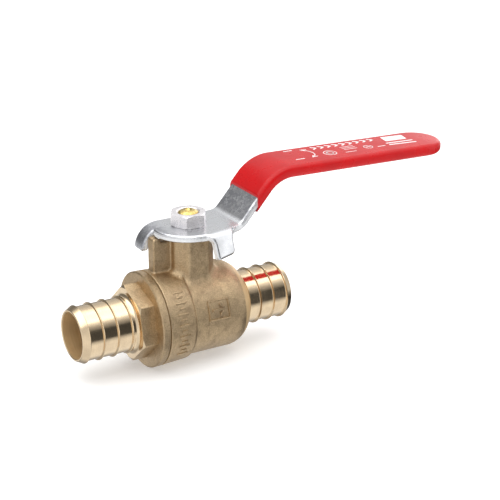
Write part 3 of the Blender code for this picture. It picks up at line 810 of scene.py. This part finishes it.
def make_inlet_barb(bright, bore_shade):
    """The inlet barb, with its polished fillet up to the wrench hex and its bore through the adapter."""
    fillet = ADAPTER_FILLET
    neck = GROOVE_RADIUS + fillet
    outside = barb_profile(INLET_END, 1, INLET_RIDGES)
    outside += arc((HEX_FACE - fillet, neck), fillet, -90, 0, 8)
    outside += points_2d([(HEX_FACE + 0.6 * MM, neck), (ADAPTER_BORE_END, neck)])
    outside += points_2d([(ADAPTER_BORE_END, BORE_RADIUS), (INLET_END + 0.2 * MM, BORE_RADIUS)])
    barb_piece("inlet_barb", outside, [bright, bore_shade], "end_adapter")


def make_hexagon(brass, bright):
    """The wrench hex: dull flats with softened corners, under a bright turned front and chamfer."""
    back = FLANGE_FACE + 0.5 * MM
    cage = slab(rounded(hexagon(HEX_RADIUS, HEX_TURN), 0.8 * MM), [(0, back), (0, HEX_FACE)])
    # The slab's X and Y become the pipe's +Z and -Y, and its height runs along the pipe.
    for vert in cage.verts:
        up, front, along = vert.co
        vert.co = (along, -front, up)
    bmesh.ops.recalc_face_normals(cage, faces=cage.faces)
    chamfer = [(back + 1 * MM, 0), (back + 1 * MM, HEX_RADIUS + 1 * MM)]
    chamfer += [(HEX_FACE + 1.4 * MM, HEX_RADIUS + 0.9 * MM), (HEX_FACE + 0.6 * MM, HEX_RADIUS + 0.1 * MM)]
    chamfer += [(HEX_FACE + 0.12 * MM, HEX_FACE_RADIUS + 0.1 * MM), (HEX_FACE, HEX_FACE_RADIUS - 0.1 * MM)]
    chamfer += [(HEX_FACE, 0)]
    cage = combined(cage, lathe(chamfer, closed=False, steps=120), "INTERSECT")
    bore = BORE_RADIUS + 1 * MM
    way = [(back + 1 * MM, 0), (back + 1 * MM, bore), (HEX_FACE - 1 * MM, bore), (HEX_FACE - 1 * MM, 0)]
    cage = combined(cage, lathe(way, closed=False, steps=64), "DIFFERENCE")
    cage.normal_update()
    for face in cage.faces:
        face.material_index = 1 if face.normal.x < -0.6 else 0
    piece("adapter_hex", cage, [brass, bright], "body", ["end_adapter"], sharp=28)


def make_flange(brass):
    """The adapter's flange: a dull band with a broken corner, and the spigot that goes into the body."""
    edge = 0.3 * MM
    rim = FLANGE_RADIUS
    back = SEAM - SEAM_BREAK
    outside = [(SPIGOT_END, SPIGOT_RADIUS), (back - 0.02 * MM, SPIGOT_RADIUS)]
    outside += [(back - 0.02 * MM, rim - 0.55 * MM), (back - 0.1 * MM, rim - 0.15 * MM)]
    outside += [(back - 0.35 * MM, rim - 0.02 * MM), (FLANGE_FACE + edge + 0.1 * MM, rim - 0.02 * MM)]
    outside += [(FLANGE_FACE + edge, rim), (FLANGE_FACE + 0.08 * MM, rim - edge)]
    outside += [(FLANGE_FACE, rim - edge - 0.12 * MM)]
    outside += [(FLANGE_FACE, BORE_RADIUS + 1 * MM), (SPIGOT_END, BORE_RADIUS + 1 * MM)]
    piece("adapter_flange", lathe(outside), [brass], "body", ["end_adapter"], sharp=30)


def make_ball(bright, bore_shade):
    """The ported ball with its stem slot."""
    edge = math.degrees(math.asin(PORT_RADIUS / BALL_RADIUS))
    sphere = arc((0, 0), BALL_RADIUS, edge, 180 - edge, 48)
    cage = lathe([tuple(p) for p in sphere], steps=96)
    slot = slab(oblong(*BALL_SLOT, 0.8 * MM), [(0, 13 * MM), (0, STEM_POCKET_FOOT)])
    cage = combined(cage, slot, "DIFFERENCE")
    mark_bore(cage, PORT_RADIUS + 0.1 * MM)
    piece("ball_skin", cage, [bright, bore_shade], "ball", ["ball"])


def two_sided(radius, start, end):
    """A round with two flats: matching arcs in front and behind, in degrees."""
    return arc((0, 0), radius, start, end, 16) + arc((0, 0), radius, start + 180, end + 180, 16)


def stem_profile():
    """(height, radius) points of the stem from its dimpled end down: thread, shaft and flange."""
    end = [(-0.75, 0), (-0.5, 0.55), (0, 1.0), (0, 1.5), (-0.1, 1.7), (-0.1, 2.0)]
    end += [(-0.35, 2.45), (-0.6, 2.95)]
    profile = [(STEM_TOP + lift * MM, radius * MM) for lift, radius in end]
    level = STEM_TOP - 0.75 * MM
    while level > THREAD_FOOT:
        profile += [(level, THREAD_RADIUS), (level - THREAD_PITCH * 0.4, THREAD_CORE)]
        profile += [(level - THREAD_PITCH * 0.5, THREAD_CORE)]
        level -= THREAD_PITCH
    foot, shoulder = STEM_FLANGE_Z
    profile += [(27.8 * MM, THREAD_CORE), (FLATS_TOP, THREAD_CORE), (SHAFT_TOP, THREAD_CORE)]
    profile += [(SHAFT_TOP, SHAFT_RADIUS), (shoulder, SHAFT_RADIUS), (shoulder, STEM_FLANGE_RADIUS)]
    return profile + [(foot, STEM_FLANGE_RADIUS), (foot, 0)]


def make_stem(bright):
    """The stem: tang, flange, shaft, flats and a thread with a dimpled end."""
    cage = lathe(stem_profile(), "Z", closed=False, steps=64)
    flats = slab(two_sided(FLATS_RADIUS, 42, 138), [(0, FLATS_TOP), (0, SHAFT_TOP - 0.2 * MM)])
    cage = combined(cage, flats, "UNION")
    tang = slab(oblong(*TANG, 0.4 * MM), [(0.1 * MM, 11.8 * MM), (0, 9.2 * MM), (0.2 * MM, 8.95 * MM)])
    cage = combined(cage, tang, "UNION")
    piece("stem_turned", cage, [bright], "lever", ["stem"])


# ---- lever, sleeve, print and nut


def sheet_line():
    """The sheet's middle line: (start distance, X, Z, heading, curvature) of each stretch."""
    middle = PLATE_TOP - SHEET / 2
    climb = math.atan2(KNEE[1] - middle, KNEE[0] - RAMP_FOOT)
    foot_reach = RAMP_BEND * math.tan(climb / 2)
    knee_turn = climb - GRIP_FALL
    knee_reach = KNEE_BEND * math.tan(knee_turn / 2)
    straight = math.hypot(KNEE[0] - RAMP_FOOT, KNEE[1] - middle) - foot_reach - knee_reach
    lengths = [RAMP_BEND * climb, straight, KNEE_BEND * knee_turn]
    curvatures = [1 / RAMP_BEND, 0.0, -1 / KNEE_BEND, 0.0]
    distance = RAMP_FOOT - foot_reach
    place = Vector((distance, middle))
    heading = 0.0
    stretches = []
    for length, curvature in zip([*lengths, 0.0], curvatures):
        stretches.append((distance, place.copy(), heading, curvature))
        place = walk(place, heading, curvature, length)
        heading += curvature * length
        distance += length
    return stretches


def walk(place, heading, curvature, length):
    """The point reached from a place along a straight stretch or an arc."""
    if curvature == 0:
        return place + Vector((math.cos(heading), math.sin(heading))) * length
    turned = heading + curvature * length
    step = Vector((math.sin(turned) - math.sin(heading), math.cos(heading) - math.cos(turned)))
    return place + step / curvature


def on_sheet(stretches, distance, lift):
    """(X, Z) of a point at a distance along the sheet and a lift off its middle."""
    start, place, heading, curvature = stretches[0]
    if distance < start:
        return Vector((distance, place.y + lift))
    for stretch in stretches:
        if distance >= stretch[0]:
            start, place, heading, curvature = stretch
    point = walk(place, heading, curvature, distance - start)
    turned = heading + curvature * (distance - start)
    return point + Vector((-math.sin(turned), math.cos(turned))) * lift


def smooth_step(value, low, high):
    t = min(max((value - low) / (high - low), 0.0), 1.0)
    return t * t * (3 - 2 * t)


def bend_sheet(cage, stretches):
    """Bends a flat blank whose height counts from the sheet's middle: ramp, knee, end strip and side tab."""
    middle = PLATE_TOP - SHEET / 2
    for vert in cage.verts:
        distance, y, lift = vert.co
        tab = Vector((distance, y)) - TAB_CORNER
        along = tab.dot(TAB_ALONG)
        fold = (tab.dot(TAB_AWAY) - TAB_BEND_START) * (1 - smooth_step(along, 8.4 * MM, 10.0 * MM))
        if distance < STRIP_START and y > 0:
            turn = (STRIP_START - distance) / STRIP_BEND
            reach = STRIP_BEND + lift
            centre = middle - STRIP_BEND
            curled = Vector((STRIP_START - reach * math.sin(turn), centre + reach * math.cos(turn)))
            flat = Vector((distance, middle + lift))
            bent = flat.lerp(curled, smooth_step(y, 0.5 * MM, 2.6 * MM))
            vert.co = (bent.x, y, bent.y)
        elif fold > 0 and distance < stretches[0][0]:
            turn = min(fold / TAB_BEND, TAB_ANGLE)
            run = max(fold - TAB_BEND * TAB_ANGLE, 0.0)
            reach = TAB_BEND + lift
            out = TAB_BEND_START + reach * math.sin(turn) + run * math.cos(turn)
            down = TAB_BEND - reach * math.cos(turn) + run * math.sin(turn)
            spot = TAB_CORNER + TAB_ALONG * along + TAB_AWAY * out
            vert.co = (spot.x, spot.y, middle - down)
        else:
            spot = on_sheet(stretches, distance, lift)
            vert.co = (spot.x, y, spot.y)


def sheet_end(stretches, x):
    """How far along the sheet its grip reaches a given X."""
    start, place, heading, _ = stretches[-1]
    return start + (x - place.x) / math.cos(heading)


def lever_outline(stretches):
    """The flat blank, anticlockwise from the hub: tab, ramp edge, grip, far edge, end strip and notch."""
    knee = stretches[2][0]
    tip = sheet_end(stretches, LEVER_TIP)
    strip_end = STRIP_START - STRIP_LENGTH
    hub = arc((0, 0), HUB_RADIUS, 173, 262, 26)
    corners = [(0.0, -1.75), (1.3, 0.6), (1.8, 5.9), (8.6, 5.15), (8.3, -0.4)]
    tab = [TAB_CORNER + (TAB_ALONG * u + TAB_AWAY * d) * MM for u, d in corners]
    tab_radii = [1.0 * MM, 2.0 * MM, 0.95 * MM, 1.6 * MM, 1.6 * MM]
    near = points_2d([(11.3 * MM, -9.2 * MM), (14.2 * MM, -RAMP_HALF), (knee, -GRIP_HALF - 0.3 * MM)])
    near_radii = [2.5 * MM, 3.0 * MM, 0]
    end = arc((tip - GRIP_HALF, 0), GRIP_HALF, -90, 90, 16)
    far = points_2d([(knee, GRIP_HALF + 0.3 * MM), (14.2 * MM, RAMP_HALF), (9.0 * MM, 7.35 * MM)])
    far += points_2d([(-4.0 * MM, STRIP_Y[1] - 0.1 * MM), (strip_end, STRIP_Y[1])])
    far += points_2d([(strip_end, STRIP_Y[0]), (-9.8 * MM, 2.15 * MM)])
    far_radii = [0, 6 * MM, 8 * MM, 8 * MM, 0.95 * MM, 0.95 * MM, 0.9 * MM]
    points = hub + tab + near + end + far
    radii = [0.0] * len(hub) + tab_radii + near_radii + [0.0] * len(end) + far_radii
    radii[0] = 0.95 * MM
    return dense(rounded([tuple(p) for p in points], radii, steps=8), 0.7 * MM)


def lever_edge():
    """(inset, height) pairs down the sheet's edge: rolled above, then a narrow land and the sheared band."""
    half = SHEET / 2
    depth = 0.65 * MM
    foot = half - depth
    land = [(0.07 * MM, foot - 0.08 * MM), (0.07 * MM, foot - 0.16 * MM), (0.02 * MM, foot - 0.24 * MM)]
    return rolled(half, 0.8 * MM, depth, 7) + land + [(0.02 * MM, 0.36 * MM - half), (0.36 * MM, -half)]


def make_lever(zinc, sheared, stretches):
    """The stamped lever: a flat blank with the stem's hole, split across its bends and bent to shape."""
    cage = slab(lever_outline(stretches), lever_edge())
    hole = slab(two_sided(STEM_HOLE_RADIUS, 40, 140), [(0, PAST), (0, -PAST)])
    cage = combined(cage, hole, "DIFFERENCE")
    for i in range(16):
        cut(cage, (STRIP_START - STRIP_LENGTH * i / 16, 0, 0), (1, 0, 0))
    for i in range(5):
        cut(cage, (0, (0.5 + 0.5 * i) * MM, 0), (0, 1, 0))
    for i in range(9):
        place = TAB_CORNER + TAB_AWAY * (TAB_BEND_START + TAB_BEND * TAB_ANGLE * i / 8)
        cut(cage, (*place, 0), (*TAB_AWAY, 0))
    cut_bends(cage, stretches)
    cage.normal_update()
    for face in cage.faces:
        face.material_index = 1 if abs(face.normal.z) < 0.25 else 0
    bend_sheet(cage, stretches)
    piece("lever_stamping", cage, [zinc, sheared], "lever", ["lever_handle"], sharp=40)


def cut_bends(cage, stretches):
    """Splits a blank across the ramp's foot and the knee, finely enough to bend smoothly."""
    for (start, *_, curvature), (end, *_) in zip(stretches, stretches[1:]):
        count = 18 if curvature else 4
        for i in range(count + 1):
            cut(cage, (start + (end - start) * i / count, 0, 0), (1, 0, 0))


def sleeve_outline(stretches, grow):
    """The grip seen from above, from before the sleeve's mouth round the tip and back."""
    start = stretches[1][0] - 3 * MM
    tip = sheet_end(stretches, SLEEVE_HIGH.x - 0.02 * MM) + grow
    near_tip = 8.42 * MM + grow
    far_start = 8.7 * MM + grow
    end = arc((tip - near_tip, 0), near_tip, -90, 90, 28)
    points = [Vector((start, -far_start)), *end, Vector((start, far_start))]
    return dense(points, 2.0 * MM)


def make_sleeve(vinyl, stretches):
    """The dipped sleeve: well-rounded edges, an upright cut at its mouth and a hollow for the steel."""
    edge = soft_edge(SLEEVE_HALF_THICK, -SLEEVE_HALF_THICK, SLEEVE_ROUNDING, 7)
    cage = slab(sleeve_outline(stretches, 0), edge)
    hollow_edge = soft_edge(SHEET / 2 + 0.06 * MM, -SHEET / 2 - 0.06 * MM, 0.5 * MM, 3)
    hollow = slab(sleeve_outline(stretches, -SLEEVE_WALL), hollow_edge)
    for solid in (cage, hollow):
        cut_bends(solid, stretches)
        bend_sheet(solid, stretches)
    cut(cage, (SLEEVE_LOW.x + 0.02 * MM, 0, 0), (-1, 0, 0), keep_all=False)
    cage = combined(cage, hollow, "DIFFERENCE")
    piece("grip_sleeve", cage, [vinyl], "lever", ["handle_sleeve"], sharp=50)


def ring_points(centre, radius, count=20):
    """A ring as a closed chain of points."""
    turn = [2 * math.pi * i / count for i in range(count + 1)]
    return [(centre[0] + radius * math.cos(a), centre[1] + radius * math.sin(a)) for a in turn]


def make_print(ink, stretches):
    """Plain printed marks on the grip: a turn arrow, dashes, rings and a block, with no lettering."""
    lines = []
    start, place, heading, _ = stretches[-1]

    def along(x):
        return (start + (x * MM - place.x) / math.cos(heading)) / MM

    def chain(points, width):
        lines.extend((a, b, width) for a, b in zip(points, points[1:]))

    turn = [math.radians(degrees) for degrees in range(-56, 61, 9)]
    sweep = [(along(39.4) + 5.6 * math.cos(a), 1.0 + 5.0 * math.sin(a)) for a in turn]
    chain(sweep, 0.34)
    for (x, y), toward in ((sweep[0], 1), (sweep[-1], -1)):
        chain([(x + 0.9, y + 1.5 * toward), (x - 0.1, y), (x + 1.9, y + 0.35 * toward)], 0.34)
    for i in range(9):
        x = along(47.2 + 2.7 * i)
        chain([(x, 3.7), (x + 1.4, 4.7), (x, 5.7)], 0.62)
    for x, y, radius, width in PRINTED_RINGS:
        chain(ring_points((along(x), y), radius), width)
    for first, last, width in PRINTED_DASHES:
        chain([(along(first[0]), first[1]), (along(last[0]), last[1])], width)
    marks = bmesh.new()
    for first, last, width in lines:
        add_cage(marks, print_slab(stroke(first, last, width)))
    outline = rounded([(along(x) * MM, y * MM) for x, y in PRINTED_BLOCK], 0.5 * MM)
    add_cage(marks, print_slab(dense(outline, 1.0 * MM)))
    cut_bends(marks, stretches)
    bend_sheet(marks, stretches)
    piece("grip_print", marks, [ink], "lever")


def print_slab(outline):
    top = SLEEVE_HALF_THICK + PRINT_LIFT
    return slab(outline, [(0.02 * MM, top), (0, top - PRINT_LIFT / 2), (0, top - 4 * PRINT_LIFT)])


def make_nut(plate):
    """The lever nut: lightly chamfered hexagon with a wide countersink over the stem's end."""
    corner, flat = NUT_CORNER, NUT_FLAT_RADIUS
    low, high = NUT_LOW.z - 0.25 * MM, NUT_HIGH.z
    cage = slab(rounded(hexagon(corner, NUT_TURN), 0.2 * MM, steps=3), [(0, high), (0, low)])
    chamfer = [(high, 0), (high, flat), (high - 0.05 * MM, flat + 0.16 * MM)]
    chamfer += [(high - 0.36 * MM, corner + 0.05 * MM), (low + 0.4 * MM, corner + 0.05 * MM)]
    chamfer += [(low + 0.25 * MM, corner - 0.55 * MM), (low, corner - 0.6 * MM), (low, 0)]
    cage = combined(cage, lathe(chamfer, "Z", closed=False, steps=96), "INTERSECT")
    hole = [(high + 1 * MM, 0), (high + 1 * MM, 4.5 * MM), (high, 3.65 * MM)]
    hole += [(high - 0.5 * MM, NUT_HOLE_RADIUS), (low - 1 * MM, NUT_HOLE_RADIUS), (low - 1 * MM, 0)]
    cage = combined(cage, lathe(hole, "Z", closed=False, steps=64), "DIFFERENCE")
    piece("hex_nut", cage, [plate], "lever", ["handle_nut"], sharp=25)


# ---- stage


def make_floor():
    """A pale floor under the valve, which the glossy metal doesn't see."""
    surface, tree, shader = new_material("pale_floor", Roughness=0.6, Emission_Strength=0.4)
    cloud = noise(tree, node(tree, "ShaderNodeTexCoord").outputs["Object"], 3.0, 2.0)
    tone = blend_colors(tree, cloud, (0.80, 0.80, 0.80), (0.82, 0.82, 0.82))
    tree.links.new(tone, shader.inputs["Base Color"])
    tree.links.new(tone, shader.inputs["Emission Color"])
    cage = bmesh.new()
    bmesh.ops.create_grid(cage, x_segments=8, y_segments=8, size=4.0)
    mesh = mesh_from("floor", cage)
    mesh.materials.append(surface)
    floor = linked("floor", mesh)
    floor.location.z = CAD_BOX[0].z - 0.1 * MM
    floor.visible_glossy = False


def make_world():
    """A dim room with bright sky panels for the metal to reflect, white where the camera looks."""
    world = bpy.data.worlds.new("studio")
    bpy.context.scene.world = world
    world.use_nodes = True
    tree = world.node_tree
    direction = node(tree, "ShaderNodeTexCoord").outputs["Generated"]
    split = node(tree, "ShaderNodeSeparateXYZ", {0: direction})
    x, y, z = (split.outputs[axis] for axis in "XYZ")
    around = ramped(tree, x, -0.3, 0.1, sky(tree, z, SKY_LEFT), sky(tree, z, SKY_FRONT))
    around = ramped(tree, y, 0.12, 0.5, around, sky(tree, z, SKY_REAR))
    around = ramped(tree, x, 0.56, 0.68, around, sky(tree, z, SKY_RIGHT))
    around = ramped(tree, x, 0.82, 0.92, around, blend_colors(tree, 0.6, around, (0.0, 0.0, 0.0)))
    seen = node(tree, "ShaderNodeLightPath").outputs["Is Camera Ray"]
    tone = blend_colors(tree, seen, around, (1.0, 1.0, 1.0))
    tree.links.new(tone, tree.nodes["Background"].inputs["Color"])


def sky(tree, height, stops):
    """Grey levels by the height of the direction looked in, from (height, level) pairs between -1 and 1."""
    bands = node(tree, "ShaderNodeValToRGB", {"Fac": spread(tree, height, -1, 1, 0, 1)})
    stops = [((height + 1) / 2, level) for height, level in stops]
    for element, (position, level) in zip(bands.color_ramp.elements, (stops[0], stops[-1])):
        element.position = position
        element.color = (level, level, level, 1)
    for position, level in stops[1:-1]:
        bands.color_ramp.elements.new(position).color = (level, level, level, 1)
    return bands.outputs["Color"]


def softbox(name, place, size, radiance):
    """An area light facing the valve. radiance is its brightness per area: a bigger box gives more light."""
    light = bpy.data.lights.new(name, "AREA")
    light.shape = "RECTANGLE"
    light.size, light.size_y = size
    light.energy = radiance * math.pi * size[0] * size[1]
    item = linked(name, light)
    item.location = place
    item.rotation_mode = "QUATERNION"
    item.rotation_quaternion = Vector(place).to_track_quat("Z", "Y")
    item.visible_camera = False


def make_camera():
    """A long lens from the front left, a little above the valve."""
    flat = math.cos(CAMERA_ELEVATION)
    aside, ahead = math.sin(CAMERA_AZIMUTH) * flat, -math.cos(CAMERA_AZIMUTH) * flat
    back = Vector((aside, ahead, math.sin(CAMERA_ELEVATION)))
    data = bpy.data.cameras.new("camera")
    data.lens = CAMERA_LENS
    data.sensor_width = 36
    data.clip_start = 0.01
    data.clip_end = 20
    camera = linked("camera", data)
    camera.location = CAMERA_PLACE
    camera.rotation_mode = "QUATERNION"
    camera.rotation_quaternion = (-back).to_track_quat("-Z", "Y")
    bpy.context.scene.camera = camera


def finish_cad_nodes(ptfe, bright):
    """Gives the hidden seats, seals and gland, which keep their CAD shapes, their materials."""
    seals = ["inlet_seat", "outlet_seat", "body_seal_ring", "stem_thrust_washer"]
    seals += ["stem_packing_lower", "stem_packing_upper"]
    finishes = {"packing_gland": bright, **{name: ptfe for name in seals}}
    for name, finish in finishes.items():
        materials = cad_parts[name].data.materials
        materials.clear()
        materials.append(finish)


def main():
    make_camera()
    brass, bright, bore_shade = cast_brass(), turned_brass(), shaded_bore_brass()
    stretches = sheet_line()
    make_casting(brass, bore_shade)
    make_casting_marks(brass)
    make_outlet_barb(bright, bore_shade)
    make_inlet_barb(bright, bore_shade)
    make_hexagon(brass, bright)
    make_flange(brass)
    make_ball(bright, bore_shade)
    make_stem(stem_brass())
    make_lever(zinc_plate(), sheared_zinc(), stretches)
    make_sleeve(red_vinyl(), stretches)
    make_print(white_ink(), stretches)
    make_nut(nut_plate())
    finish_cad_nodes(white_ptfe(), bright)
    make_floor()
    make_world()
    softbox("back_softbox", (0.75, 1.25, 0.62), (1.7, 1.0), 0.42)
    softbox("top_softbox", (-0.25, -0.1, 1.5), (2.4, 2.4), 0.62)
    bpy.context.scene.view_settings.view_transform = "Standard"


main()
